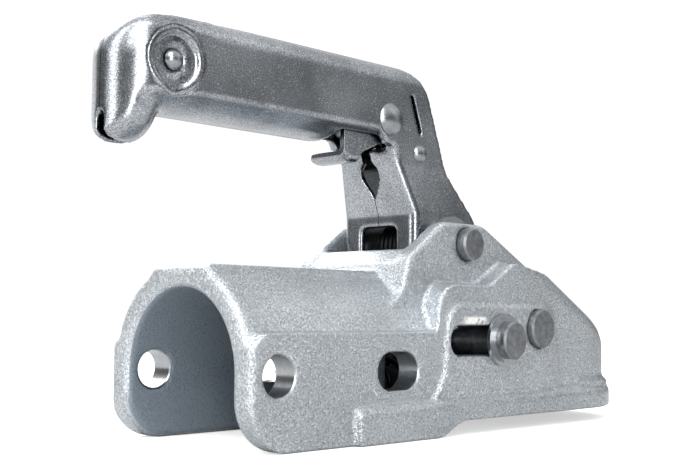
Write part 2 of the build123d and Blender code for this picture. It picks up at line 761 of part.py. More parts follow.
with BuildPart() as handle:
    add(outer_form.part)
    add(handle_form(sheet), mode=Mode.SUBTRACT)
    # Round dishes for the nose rivet, pressed in from both sides
    for side in (-1, 1):
        with Locations(Location((nose_rivet_x, side * inner_half, nose_rivet_z), (90 * side, 0, 0))):
            Cylinder(dish_radius + 1, dish_depth, align=(Align.CENTER, Align.CENTER, Align.MIN))
            Cylinder(dish_radius + 1, sheet / 2, align=(Align.CENTER, Align.CENTER, Align.MAX))
    add(outer_form.part, mode=Mode.INTERSECT)
    for side in (-1, 1):
        with Locations(Location((nose_rivet_x, side * grip_half, nose_rivet_z), (90 * side, 0, 0))):
            Cone(dish_radius, dish_floor_radius, dish_depth,
                 align=(Align.CENTER, Align.CENTER, Align.MIN), mode=Mode.SUBTRACT)
    # Legs are open in front, inside and at the foot
    with BuildSketch(Plane.YZ.offset(leg_back_x + sheet)) as leg_gap:
        outline(
            (-inner_half, leg_open_top),
            (inner_half, leg_open_top),
            (inner_half + leg_flare, leg_flare_bottom),
            (inner_half + leg_flare, -skirt_depth),
            (-inner_half - leg_flare, -skirt_depth),
            (-inner_half - leg_flare, leg_flare_bottom),
        )
    extrude(amount=leg_front_x, mode=Mode.SUBTRACT)
    # Leg plates that end in forks round the slide pin
    with BuildSketch(Plane.XZ.offset(leg_half - sheet)) as fork_side:
        outline(
            (leg_back_x + fold_round, leg_flare_bottom),
            (leg_front_x - sheet, leg_front_z),
            (leg_front_x - leg_taper, leg_foot_z),
            fork_point(slide_drop / 2, fork_half),
            fork_point(fork_reach, fork_half),
            fork_point(fork_reach, -fork_half),
            fork_point(slide_drop / 2, -fork_half),
            (leg_back_x + fold_round, leg_foot_z),
        )
        for across in (fork_half, -fork_half):
            tip_x, tip_z = fork_point(fork_reach, across)
            fillet(corner(fork_side, tip_x, tip_z), sheet)
        for across in (fork_half, -fork_half):
            bend_x, bend_z = fork_point(slide_drop / 2, across)
            fillet(corner(fork_side, bend_x, bend_z), shoulder_round)
        with Locations(fork_point(slide_drop - fork_gap, 0)):
            Circle(fork_slot, mode=Mode.SUBTRACT)
        Polygon(
            fork_point(slide_drop - fork_gap, fork_slot),
            fork_point(slide_drop - fork_gap, -fork_slot),
            fork_point(fork_reach + sheet, -fork_slot),
            fork_point(fork_reach + sheet, fork_slot),
            align=None,
            mode=Mode.SUBTRACT,
        )
    extrude(amount=sheet)
    mirror(about=Plane.XZ, mode=Mode.ADD)
    # Rivet and hinge holes
    with BuildSketch(Plane.XZ):
        with Locations((nose_rivet_x, nose_rivet_z)):
            Circle(nose_rivet_radius)
        with Locations((leg_rivet_x, leg_rivet_z)):
            Circle(leg_rivet_radius)
        with Locations((stop_rivet_x, stop_rivet_z)):
            Circle(stop_rivet_radius)
        with Locations((pivot_x, pivot_z)):
            Circle(pivot_radius + turn_gap)
        Polygon(
            (slit_x, slit_z),
            (slit_x + slit_width, slit_z),
            (slit_x + slit_width + slit_lean, slit_z - slit_length),
            (slit_x + slit_lean, slit_z - slit_length),
            align=None,
        )
    extrude(amount=leg_half, both=True, mode=Mode.SUBTRACT)
    # Window and teardrop relief in the rear wall of the legs
    with BuildSketch(Plane.YZ.offset(leg_back_x - 2 * leg_lean)) as back_window:
        with Locations((0, window_top)):
            Rectangle(2 * window_half, window_top, align=(Align.CENTER, Align.MAX))
        fillet(back_window.vertices().sort_by(Axis.Y)[-2:], window_round)
        with Locations((0, relief_z)):
            Circle(relief_radius)
        outline(
            (-relief_radius * cos(radians(30)), relief_z - relief_radius / 2),
            (relief_radius * cos(radians(30)), relief_z - relief_radius / 2),
            (0, relief_z - 2 * relief_radius),
        )
        outline(
            (-relief_radius / 2, relief_z),
            (relief_radius / 2, relief_z),
            (relief_radius / 2, grip_bottom + sheet),
            (-relief_radius / 2, grip_bottom + sheet),
        )
    extrude(amount=2 * leg_lean + sheet, mode=Mode.SUBTRACT)
    # Opening in the underside that the trigger passes through
    with BuildSketch(Plane.XY.offset(grip_bottom - 1)):
        with Locations((trigger_gap_x, 0)):
            Rectangle(trigger_gap_length, 2 * trigger_gap_half, align=(Align.MIN, Align.CENTER))
    extrude(amount=crease_rise + sheet, mode=Mode.SUBTRACT)
    # Seam where the folded sheet meets, open at the foot of the nose
    with BuildSketch(Plane.XZ):
        outline(
            (nose_back_x, nose_bottom),
            (nose_back_x, grip_top),
            (leg_rivet_x, grip_top),
            (leg_rivet_x, grip_top - sheet - 1),
            (nose_back_x + nose_top_round, grip_top - sheet - 1),
            (nose_back_x + 2 * sheet, nose_rivet_z),
            (nose_back_x + 2 * sheet, nose_bottom),
        )
        outline(
            (leg_back_x - leg_lean, window_top),
            (leg_back_x - leg_lean, relief_z - relief_radius),
            (leg_back_x + 2 * sheet, relief_z - relief_radius),
            (leg_back_x + 2 * sheet, window_top),
        )
    extrude(amount=seam_gap / 2, both=True, mode=Mode.SUBTRACT)
    with BuildSketch(Plane.YZ.offset(nose_back_x)) as nose_gap:
        with Locations((0, nose_bottom)):
            Rectangle(2 * nose_gap_half, nose_gap_height, align=(Align.CENTER, Align.MIN))
        fillet(nose_gap.vertices().sort_by(Axis.Y)[-2:], nose_gap_half - 0.5)
    extrude(amount=nose_gap_depth, mode=Mode.SUBTRACT)
handle.part.label = "handle"
export_step(handle.part, "parts/handle.step")

with BuildPart() as nose_rivet:
    add(rivet_form(nose_rivet_x, nose_rivet_z, nose_rivet_radius, grip_half - dish_depth,
                   nose_rivet_head, nose_rivet_dome))
nose_rivet.part.label = "nose_rivet"
export_step(nose_rivet.part, "parts/nose_rivet.step")

with BuildPart() as leg_rivet:
    add(rivet_form(leg_rivet_x, leg_rivet_z, leg_rivet_radius, grip_half,
                   leg_rivet_head, leg_rivet_dome))
leg_rivet.part.label = "leg_rivet"
export_step(leg_rivet.part, "parts/leg_rivet.step")

with BuildPart() as stop_rivet:
    add(rivet_form(stop_rivet_x, stop_rivet_z, stop_rivet_radius, grip_half,
                   stop_rivet_head, stop_rivet_dome))
stop_rivet.part.label = "stop_rivet"
export_step(stop_rivet.part, "parts/stop_rivet.step")

with BuildPart() as nose_spacer:
    spacer_half = grip_half - dish_depth - sheet
    add(ring_form(nose_rivet_x, nose_rivet_z, nose_rivet_radius,
                  nose_rivet_radius + spacer_wall, -spacer_half, spacer_half))
nose_spacer.part.label = "nose_spacer"
export_step(nose_spacer.part, "parts/nose_spacer.step")

with BuildPart() as trigger_bush:
    add(ring_form(leg_rivet_x, leg_rivet_z, leg_rivet_radius, bush_radius,
                  -bush_half, bush_half))
trigger_bush.part.label = "trigger_bush"
export_step(trigger_bush.part, "parts/trigger_bush.step")

with BuildPart() as stop_sleeve:
    add(ring_form(stop_rivet_x, stop_rivet_z, stop_rivet_radius,
                  stop_rivet_radius + spacer_wall, -inner_half, inner_half))
stop_sleeve.part.label = "stop_sleeve"
export_step(stop_sleeve.part, "parts/stop_sleeve.step")

with BuildPart() as pivot_pin:
    add(pin_form(pivot_x, pivot_z, pivot_radius, ear_outer + pivot_proud, pin_edge))
pivot_pin.part.label = "pivot_pin"
export_step(pivot_pin.part, "parts/pivot_pin.step")

with BuildPart() as pivot_washer_left:
    add(ring_form(pivot_x, pivot_z, pivot_radius, pivot_washer_radius,
                  leg_half + flat_gap, ear_inner - flat_gap))
pivot_washer_left.part.label = "pivot_washer_left"
export_step(pivot_washer_left.part, "parts/pivot_washer_left.step")

with BuildPart() as pivot_washer_right:
    add(ring_form(pivot_x, pivot_z, pivot_radius, pivot_washer_radius,
                  flat_gap - ear_inner, -leg_half - flat_gap))
pivot_washer_right.part.label = "pivot_washer_right"
export_step(pivot_washer_right.part, "parts/pivot_washer_right.step")

with BuildPart() as pivot_sleeve_left:
    add(ring_form(pivot_x, pivot_z, pivot_radius + turn_gap, pivot_sleeve_radius,
                  flat_gap - trigger_web_y, leg_half - sheet))
pivot_sleeve_left.part.label = "pivot_sleeve_left"
export_step(pivot_sleeve_left.part, "parts/pivot_sleeve_left.step")

with BuildPart() as pivot_sleeve_right:
    add(ring_form(pivot_x, pivot_z, pivot_radius + turn_gap, pivot_sleeve_radius,
                  sheet - leg_half, -trigger_web_y - trigger_sheet - flat_gap))
pivot_sleeve_right.part.label = "pivot_sleeve_right"
export_step(pivot_sleeve_right.part, "parts/pivot_sleeve_right.step")

# Disc on the hinge pin whose notch the trigger's foot drops into
with BuildPart() as catch_disc:
    with BuildSketch(Plane.XZ.offset(trigger_web_y)):
        with Locations((pivot_x, pivot_z)):
            Circle(catch_radius)
            Circle(pivot_radius, mode=Mode.SUBTRACT)
        Polygon(
            (pivot_x, pivot_z + catch_radius - catch_notch),
            (hook_x, pivot_z + catch_radius - catch_notch),
            (hook_x - catch_notch, pivot_z + catch_radius + 1),
            (pivot_x, pivot_z + catch_radius + 1),
            align=None,
            mode=Mode.SUBTRACT,
        )
    extrude(amount=trigger_sheet)
catch_disc.part.label = "catch_disc"
export_step(catch_disc.part, "parts/catch_disc.step")

# Trigger: a flat web on the leg rivet with a finger tab folded off its lower edge
with BuildPart() as release_trigger:
    with BuildSketch(Plane.XZ.offset(trigger_web_y)) as web_side:
        outline(
            (tab_x, tab_z),
            (tab_x, tab_z + tab_rise),
            (leg_rivet_x - trigger_hub, leg_rivet_z + 4),
            (leg_rivet_x - 2, leg_rivet_z + trigger_hub),
            (hook_x - 5, leg_rivet_z + 5),
            (hook_x + 2.2, leg_rivet_z - 2),
            (arm_x, stop_rivet_z),
            (arm_x + 1, stop_rivet_z - 12),
            (hook_x + 3, hook_z),
            (hook_x, hook_z),
            (arm_x - arm_width, stop_rivet_z - 5),
            (arm_x - arm_width, stop_rivet_z + 5.4),
            (stop_rivet_x - 1, stop_rivet_z + 9),
            (leg_rivet_x + 5, leg_rivet_z - 7),
            (tab_x + tab_length + 2, tab_z + 4.4),
            (tab_x + tab_length - 1.5, tab_z),
        )
        with Locations((leg_rivet_x, leg_rivet_z)):
            Circle(trigger_hub)
            Circle(bush_radius + turn_gap, mode=Mode.SUBTRACT)
    extrude(amount=trigger_sheet)
    with BuildSketch(Plane.XY.offset(tab_z)) as tab_plan:
        with Locations((tab_x, -trigger_web_y - trigger_sheet)):
            Rectangle(tab_length, 2 * trigger_web_y + trigger_sheet, align=(Align.MIN, Align.MIN))
        fillet(tab_plan.vertices().sort_by(Axis.Y)[-2:], tab_bend / 2)
    extrude(amount=trigger_sheet)
    fold = release_trigger.edges().filter_by(Axis.X).sort_by_distance(
        (tab_x + tab_length / 2, -trigger_web_y - trigger_sheet, tab_z))[0]
    fillet(fold, trigger_sheet)
release_trigger.part.label = "release_trigger"
export_step(release_trigger.part, "parts/release_trigger.step")

# Torsion spring round the hinge sleeve, one arm on the collar and one on the legs
with BuildPart() as handle_spring:
    with BuildLine() as coil_line:
        Helix(coil_pitch, coil_pitch * coil_turns, coil_radius,
              center=(pivot_x, coil_start_y, pivot_z), direction=(0, 1, 0))
    with BuildSketch(Plane(origin=coil_line.line @ 0, z_dir=coil_line.line % 0)):
        RegularPolygon(coil_wire / 2, wire_sides)
    sweep(is_frenet=True)
    arm_start = coil_line.line @ 0
    with BuildSketch(Plane(origin=arm_start, z_dir=coil_line.line % 0)):
        RegularPolygon(coil_wire / 2, wire_sides)
    extrude(amount=-coil_arm)
handle_spring.part.label = "handle_spring"
export_step(handle_spring.part, "parts/handle_spring.step")

with BuildPart() as trigger_spring:
    with BuildLine() as small_line:
        Helix(small_pitch, small_pitch * small_turns, small_radius,
              center=(leg_rivet_x, flat_gap - trigger_web_y + small_wire / 2, leg_rivet_z),
              direction=(0, 1, 0))
    with BuildSketch(Plane(origin=small_line.line @ 0, z_dir=small_line.line % 0)):
        RegularPolygon(small_wire / 2, wire_sides)
    sweep(is_frenet=True)
trigger_spring.part.label = "trigger_spring"
export_step(trigger_spring.part, "parts/trigger_spring.step")

# Pin that slides in the side slots, with a formed head at each end
with BuildPart() as slide_pin:
    with BuildSketch(Plane.XZ):
        with Locations((slide_x, slide_z)):
            Circle(slide_radius)
    extrude(amount=slide_head_y, both=True)
    with BuildSketch(Plane.XZ.offset(slide_head_y)):
        with Locations((slide_x, slide_z)):
            Circle(slide_head_radius)
    extrude(amount=slide_head_height)
    mirror(about=Plane.XZ, mode=Mode.ADD)
    chamfer(slide_pin.edges().group_by(Axis.Y)[0], pin_edge)
    chamfer(slide_pin.edges().group_by(Axis.Y)[-1], pin_edge)
slide_pin.part.label = "slide_pin"
export_step(slide_pin.part, "parts/slide_pin.step")

# Stepped washers between the pin's heads and the bosses
with BuildPart() as slide_washer_left:
    add(ring_form(slide_x, slide_z, slide_radius, slide_washer_radius,
                  boss_half + flat_gap, boss_half + flat_gap + slide_washer_rim))
    add(ring_form(slide_x, slide_z, slide_radius, slide_hub_radius,
                  boss_half + flat_gap, slide_head_y))
slide_washer_left.part.label = "slide_washer_left"
export_step(slide_washer_left.part, "parts/slide_washer_left.step")

with BuildPart() as slide_washer_right:
    add(slide_washer_left.part)
    mirror(about=Plane.XZ, mode=Mode.REPLACE)
slide_washer_right.part.label = "slide_washer_right"
export_step(slide_washer_right.part, "parts/slide_washer_right.step")

# Block on the slide pin that the closing spring drives in behind the claw
with BuildPart() as slide_block:
    with BuildSketch(Plane.XZ):
        outline(
            (block_back_x, -nose_floor),
            (block_back_x, block_top),
            (block_step_x, block_top),
            (block_step_x, beam_top),
            (block_front_x, beam_top),
            (block_front_x, beam_floor),
            (block_step_x + block_wall, -nose_floor),
        )
        with Locations((slide_x, slide_z)):
            Circle(slide_radius, mode=Mode.SUBTRACT)
    extrude(amount=block_half, both=True)
    with BuildSketch(Plane.YZ.offset(block_back_x)):
        with Locations((0, spring_z)):
            Circle(spring_bore)
    extrude(amount=spring_end_x - block_back_x, mode=Mode.SUBTRACT)
slide_block.part.label = "slide_block"
export_step(slide_block.part, "parts/slide_block.step")

with BuildPart() as closing_spring:
    with BuildLine() as spring_line:
        Helix(spring_pitch, spring_pitch * spring_turns, spring_radius,
              center=(web_face_x + flat_gap + spring_wire / 2, 0, spring_z), direction=(1, 0, 0))
    with BuildSketch(Plane(origin=spring_line.line @ 0, z_dir=spring_line.line % 0)):
        RegularPolygon(spring_wire / 2, wire_sides)
    sweep(is_frenet=True)
closing_spring.part.label = "closing_spring"
export_step(closing_spring.part, "parts/closing_spring.step")

with BuildPart() as spring_guide:
    with BuildSketch(Plane.YZ.offset(web_face_x)):
        with Locations((0, spring_z)):
            Circle(guide_radius)
    extrude(amount=guide_length)
    chamfer(spring_guide.edges().group_by(Axis.X)[-1], pin_edge)
spring_guide.part.label = "spring_guide"
export_step(spring_guide.part, "parts/spring_guide.step")

with BuildPart() as claw_pin:
    add(pin_form(claw_pin_x, claw_pin_z, claw_pin_radius, boss_half + claw_pin_proud, pin_edge))
claw_pin.part.label = "claw_pin"
export_step(claw_pin.part, "parts/claw_pin.step")

# Claw that closes under the ball from behind
with BuildPart() as ball_claw:
    with BuildSketch(Plane.XZ):
        outline(
            (claw_back_x, claw_heel_z),
            (claw_back_x, -claw_toe),
            (claw_back_x + claw_floor - claw_toe, -claw_floor),
            (ball_x - claw_lip, -claw_floor),
            (ball_x - claw_lip, claw_brow_z),
            (ball_x - claw_brow, claw_top),
            (claw_pin_x, claw_pin_z),
        )
    extrude(amount=claw_half, both=True)
    # Slim hub so that the claw clears the fork plates
    with BuildSketch(Plane.XZ.offset(claw_hub_half)):
        with Locations((claw_pin_x, claw_pin_z)):
            Circle(claw_hub_radius + 1)
    extrude(amount=claw_half, mode=Mode.SUBTRACT)
    with BuildSketch(Plane.XZ.offset(-claw_hub_half - claw_half)):
        with Locations((claw_pin_x, claw_pin_z)):
            Circle(claw_hub_radius + 1)
    extrude(amount=claw_half, mode=Mode.SUBTRACT)
    with BuildSketch(Plane.XZ):
        with Locations((claw_pin_x, claw_pin_z)):
            Circle(claw_hub_radius)
    extrude(amount=claw_hub_half, both=True)
    with BuildSketch(Plane.XZ):
        with Locations((claw_pin_x, claw_pin_z)):
            Circle(claw_pin_radius + turn_gap)
    extrude(amount=claw_half, both=True, mode=Mode.SUBTRACT)
    with Locations((ball_x, 0, ball_z)):
        Sphere(ball_radius + 2 * flat_gap, mode=Mode.SUBTRACT)
ball_claw.part.label = "ball_claw"
export_step(ball_claw.part, "parts/ball_claw.step")
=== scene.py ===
import math

import bmesh
import bpy
from mathutils import Matrix, Vector
from mathutils.bvhtree import BVHTree


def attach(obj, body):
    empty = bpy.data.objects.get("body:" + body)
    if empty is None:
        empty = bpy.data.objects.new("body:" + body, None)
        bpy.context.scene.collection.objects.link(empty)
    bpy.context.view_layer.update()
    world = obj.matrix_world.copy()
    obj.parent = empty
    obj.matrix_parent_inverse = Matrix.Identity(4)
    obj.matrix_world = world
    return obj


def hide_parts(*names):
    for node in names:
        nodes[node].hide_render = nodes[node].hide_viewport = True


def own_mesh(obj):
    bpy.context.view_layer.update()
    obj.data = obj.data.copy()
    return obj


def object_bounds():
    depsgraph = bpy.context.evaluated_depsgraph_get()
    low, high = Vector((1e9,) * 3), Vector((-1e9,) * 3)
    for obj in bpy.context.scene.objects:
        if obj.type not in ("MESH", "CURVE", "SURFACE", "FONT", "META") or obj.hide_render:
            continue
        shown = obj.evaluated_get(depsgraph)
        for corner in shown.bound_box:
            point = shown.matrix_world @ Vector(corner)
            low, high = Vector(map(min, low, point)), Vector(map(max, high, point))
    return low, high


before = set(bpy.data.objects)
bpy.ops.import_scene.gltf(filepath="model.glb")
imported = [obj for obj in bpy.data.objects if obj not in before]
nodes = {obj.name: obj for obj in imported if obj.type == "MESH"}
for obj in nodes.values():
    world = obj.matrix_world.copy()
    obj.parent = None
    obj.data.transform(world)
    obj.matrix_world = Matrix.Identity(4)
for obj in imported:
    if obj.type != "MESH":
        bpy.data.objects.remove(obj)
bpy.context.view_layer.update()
mm = 0.001


def toLinear(hexText):
    # Linear colour with alpha from an sRGB hex text
    values = []
    for start in (1, 3, 5):
        part = int(hexText[start:start + 2], 16) / 255
        values.append(part / 12.92 if part <= 0.04045 else ((part + 0.055) / 1.055) ** 2.4)
    return (*values, 1.0)


def gray(level):
    return (level, level, level, 1.0)


def setInputs(owner, node, inputs):
    # Gives sockets their plain values, or links other nodes' outputs to them
    for name, value in inputs.items():
        if isinstance(value, bpy.types.NodeSocket):
            owner.node_tree.links.new(value, node.inputs[name])
        else:
            node.inputs[name].default_value = value


def addNode(owner, kind, inputs, stops=None, **settings):
    # Adds a shader node to a material or the world. A ramp takes its positions and colours as stops
    node = owner.node_tree.nodes.new("ShaderNode" + kind)
    for name, value in settings.items():
        setattr(node, name, value)
    setInputs(owner, node, inputs)
    if stops:
        elements = node.color_ramp.elements
        elements[0].position, elements[0].color = stops[0]
        elements[1].position, elements[1].color = stops[-1]
        for position, color in stops[1:-1]:
            elements.new(position).color = color
    return node.outputs


def newMaterial(name):
    material = bpy.data.materials.new(name)
    material.use_nodes = True
    return material, material.node_tree.nodes["Principled BSDF"]


def patterns(material, coords, table):
    # Noise patterns of a finish, by their step in metres, detail and roughness
    found = []
    for size, detail, rough in table:
        inputs = {"Vector": coords, "Scale": 1.0 / size, "Detail": detail, "Roughness": rough}
        found.append(addNode(material, "TexNoise", inputs)["Fac"])
    return found


def band(owner, value, low, high, soft):
    # 1 between low and high, falling to 0 over soft outside them
    rise = addNode(owner, "MapRange", {1: low - soft, 2: low, 3: 0.0, 4: 1.0, 0: value})[0]
    fall = addNode(owner, "MapRange", {1: high, 2: high + soft, 3: 1.0, 4: 0.0, 0: value})[0]
    return addNode(owner, "Math", {0: rise, 1: fall}, operation="MULTIPLY")[0]


def overlap(owner, *masks):
    # 1 where every mask is 1
    both = masks[0]
    for mask in masks[1:]:
        both = addNode(owner, "Math", {0: both, 1: mask}, operation="MULTIPLY")[0]
    return both


# Zinc plated casting: a pale sandy skin. Its grit is finer than a pixel, so it is drawn coarser to show
castLook = {
    "light": "#eceff2",
    "mid": "#bfc5ca",
    "dark": "#8d9399",
    # size, detail and roughness of each pattern
    "grain": (0.8 * mm, 2.0, 0.6),
    "fine": (0.45 * mm, 2.0, 0.6),
    "cloud": (26 * mm, 2.0, 0.5),
    "fineShare": 0.45,
    "grainShare": 0.55,
    # where the sandy pattern turns dark, mid and light: the skin's grain, with painted shade in its hollows
    # and painted glints on its peaks
    "grainGlintStops": (0.34, 0.5, 0.62),
    # position in the pattern and the value there
    "toneStops": ((0.3, 0.86), (0.7, 1.0)),
    "roughStops": ((0.36, 0.4), (0.62, 0.25)),
    "shine": 0.8,
    "bumpFine": 0.3,
    "bumpStrength": 1.0,
    "bumpHeight": 0.42 * mm,
}
# Walls round the drawbar, painted darker and bluer than the outside as shade of the hollow, and duller
hollowShadeLook = {
    "pale": "#8f9aa4",
    "dark": "#7d8892",
    "radius": 31.2 * mm,
    "side": 30.9 * mm,
    "start": -11.0 * mm,
    "end": 170 * mm,
    "dull": 0.5,
}
# Pale patch above the slot, on the near side, with a ragged edge, where the casting is not metallic
patchLook = {
    "color": "#f2f1ed",
    # low, high and softness
    "alongX": (97 * mm, 108 * mm, 3 * mm),
    "alongZ": (17.6 * mm, 19.8 * mm, 1.0 * mm),
    "side": -38 * mm,
    "rag": (3 * mm, 4.0, 0.7),
    "ragFrom": 0.44,
}


def hollowShadeMask(material, x, y, z):
    # 1 on the sleeve's inside, where painted shade goes: an arch over the drawbar and two straight legs
    look = hollowShadeLook
    squareY = addNode(material, "Math", {0: y, 1: y}, operation="MULTIPLY")[0]
    squareZ = addNode(material, "Math", {0: z, 1: z}, operation="MULTIPLY")[0]
    square = addNode(material, "Math", {0: squareY, 1: squareZ}, operation="ADD")[0]
    radius = addNode(material, "Math", {0: square}, operation="SQRT")[0]
    arch = addNode(material, "Math", {0: radius, 1: look["radius"]}, operation="LESS_THAN")[0]
    below = addNode(material, "Math", {0: z, 1: 0.0}, operation="LESS_THAN")[0]
    across = addNode(material, "Math", {0: y}, operation="ABSOLUTE")[0]
    between = addNode(material, "Math", {0: across, 1: look["side"]}, operation="LESS_THAN")[0]
    legs = overlap(material, below, between)
    hollow = addNode(material, "Math", {0: arch, 1: legs}, operation="MAXIMUM")[0]
    afterStart = addNode(material, "Math", {0: x, 1: look["start"]}, operation="GREATER_THAN")[0]
    beforeEnd = addNode(material, "Math", {0: x, 1: look["end"]}, operation="LESS_THAN")[0]
    return overlap(material, hollow, afterStart, beforeEnd)


def patchMask(material, coords, x, y, z):
    look = patchLook
    rag = patterns(material, coords, [look["rag"]])[0]
    nearSide = addNode(material, "Math", {0: y, 1: look["side"]}, operation="LESS_THAN")[0]
    ragged = addNode(material, "Math", {0: rag, 1: look["ragFrom"]}, operation="GREATER_THAN")[0]
    return overlap(material, band(material, x, *look["alongX"]), band(material, z, *look["alongZ"]),
                   nearSide, ragged)


def castMaterial():
    material, shader = newMaterial("zincCasting")
    look = castLook
    coords = addNode(material, "TexCoord", {})["Object"]
    x, y, z = addNode(material, "SeparateXYZ", {"Vector": coords})
    grain, fine, cloud = patterns(material, coords, [look["grain"], look["fine"], look["cloud"]])
    finePart = addNode(material, "Math", {0: fine, 1: look["fineShare"]}, operation="MULTIPLY")[0]
    grainPart = addNode(material, "Math", {0: grain, 1: look["grainShare"]}, operation="MULTIPLY")[0]
    sand = addNode(material, "Math", {0: finePart, 1: grainPart}, operation="ADD")[0]
    # Colour of the sandy grain: its peaks are painted light as glints and its hollows dark as painted shade
    grainGlintColors = [toLinear(look[name]) for name in ("dark", "mid", "light")]
    grainGlint = addNode(material, "ValToRGB", {"Fac": sand}, list(zip(look["grainGlintStops"], grainGlintColors)))[0]
    toneStops = [(position, gray(level)) for position, level in look["toneStops"]]
    tone = addNode(material, "ValToRGB", {"Fac": cloud}, toneStops)[0]
    color = addNode(material, "Mix", {0: 1.0, 6: grainGlint, 7: tone}, data_type="RGBA",
                    blend_type="MULTIPLY")[2]
    # Painted shade: the sleeve's inside walls get a darker, bluer colour
    inside = hollowShadeMask(material, x, y, z)
    hollowShadeColors = {0: grain, 6: toLinear(hollowShadeLook["pale"]), 7: toLinear(hollowShadeLook["dark"])}
    hollowShadeColor = addNode(material, "Mix", hollowShadeColors, data_type="RGBA")[2]
    color = addNode(material, "Mix", {0: inside, 6: color, 7: hollowShadeColor}, data_type="RGBA")[2]
    dull = addNode(material, "Math", {0: inside, 1: hollowShadeLook["dull"]}, operation="MULTIPLY")[0]
    shine = addNode(material, "Math", {0: look["shine"], 1: dull}, operation="SUBTRACT")[0]
    patch = patchMask(material, coords, x, y, z)
    patchColor = toLinear(patchLook["color"])
    color = addNode(material, "Mix", {0: patch, 6: color, 7: patchColor}, data_type="RGBA")[2]
    offPatch = addNode(material, "Math", {0: 1.0, 1: patch}, operation="SUBTRACT")[0]
    roughStops = [(position, gray(level)) for position, level in look["roughStops"]]
    bumpPart = addNode(material, "Math", {0: fine, 1: look["bumpFine"]}, operation="MULTIPLY")[0]
    height = addNode(material, "Math", {0: grain, 1: bumpPart}, operation="ADD")[0]
    setInputs(material, shader, {
        "Base Color": color,
        "Metallic": overlap(material, shine, offPatch),
        "Roughness": addNode(material, "ValToRGB", {"Fac": sand}, roughStops)[0],
        "Normal": addNode(material, "Bump", {
            "Strength": look["bumpStrength"], "Distance": look["bumpHeight"], "Height": height})[0],
    })
    return material


# Zinc plated pressing: smooth rolled sheet with fine crossing scratches, and painted shade on its facing
# inner walls
sheetLook = {
    "light": "#a4a8ad",
    "dark": "#7b7f84",
    # dark colour for painted shade on facing inner walls, and for the seam's line
    "innerShadeAndSeam": "#2b2d30",
    # size, detail and roughness of each pattern
    "cloud": (24 * mm, 2.0, 0.5),
    "grain": (0.5 * mm, 2.0, 0.6),
    "worn": (7 * mm, 3.0, 0.6),
    # stretch, turn and pattern of each set of scratches
    "scratches": (((0.34, 1.0, 1.0), (0.2, 0.75, 0.3), (0.6 * mm, 4.0, 0.75)),
                  ((1.0, 1.0, 0.4), (-0.3, -0.22, 0.2), (0.7 * mm, 4.0, 0.75))),
    # where the cloudy pattern turns dark and light
    "baseStops": (0.3, 0.72),
    # position in the pattern and the value there
    "scratchStops": ((0.58, 0.0), (0.66, 1.0)),
    "wornStops": ((0.42, 0.3), (0.6, 1.0)),
    "pitStops": ((0.32, 0.5), (0.5, 1.0), (0.64, 1.5)),
    "roughStops": ((0.3, 0.22), (0.7, 0.28)),
    "scratchShare": 0.5,
    "scratchWhite": 0.95,
    "innerShadeShare": 0.8,
    "metallic": 1.0,
    "bumpGrain": 0.35,
    "bumpMarks": 0.5,
    "bumpStrength": 0.28,
    "bumpHeight": 0.04 * mm,
}
# Line where the folded sheet meets, on the nose and on the legs
seamLook = {
    # low, high and softness
    "acrossY": (-0.12 * mm, 0.12 * mm, 0.1 * mm),
    "noseX": -26 * mm,
    "legX": 82 * mm,
    "legZ": 80 * mm,
}


def seamMask(material, x, y, z):
    look = seamLook
    onNose = addNode(material, "Math", {0: x, 1: look["noseX"]}, operation="LESS_THAN")[0]
    behind = addNode(material, "Math", {0: x, 1: look["legX"]}, operation="GREATER_THAN")[0]
    below = addNode(material, "Math", {0: z, 1: look["legZ"]}, operation="LESS_THAN")[0]
    onLegs = overlap(material, behind, below)
    ends = addNode(material, "Math", {0: onNose, 1: onLegs}, operation="MAXIMUM")[0]
    return overlap(material, band(material, y, *look["acrossY"]), ends)


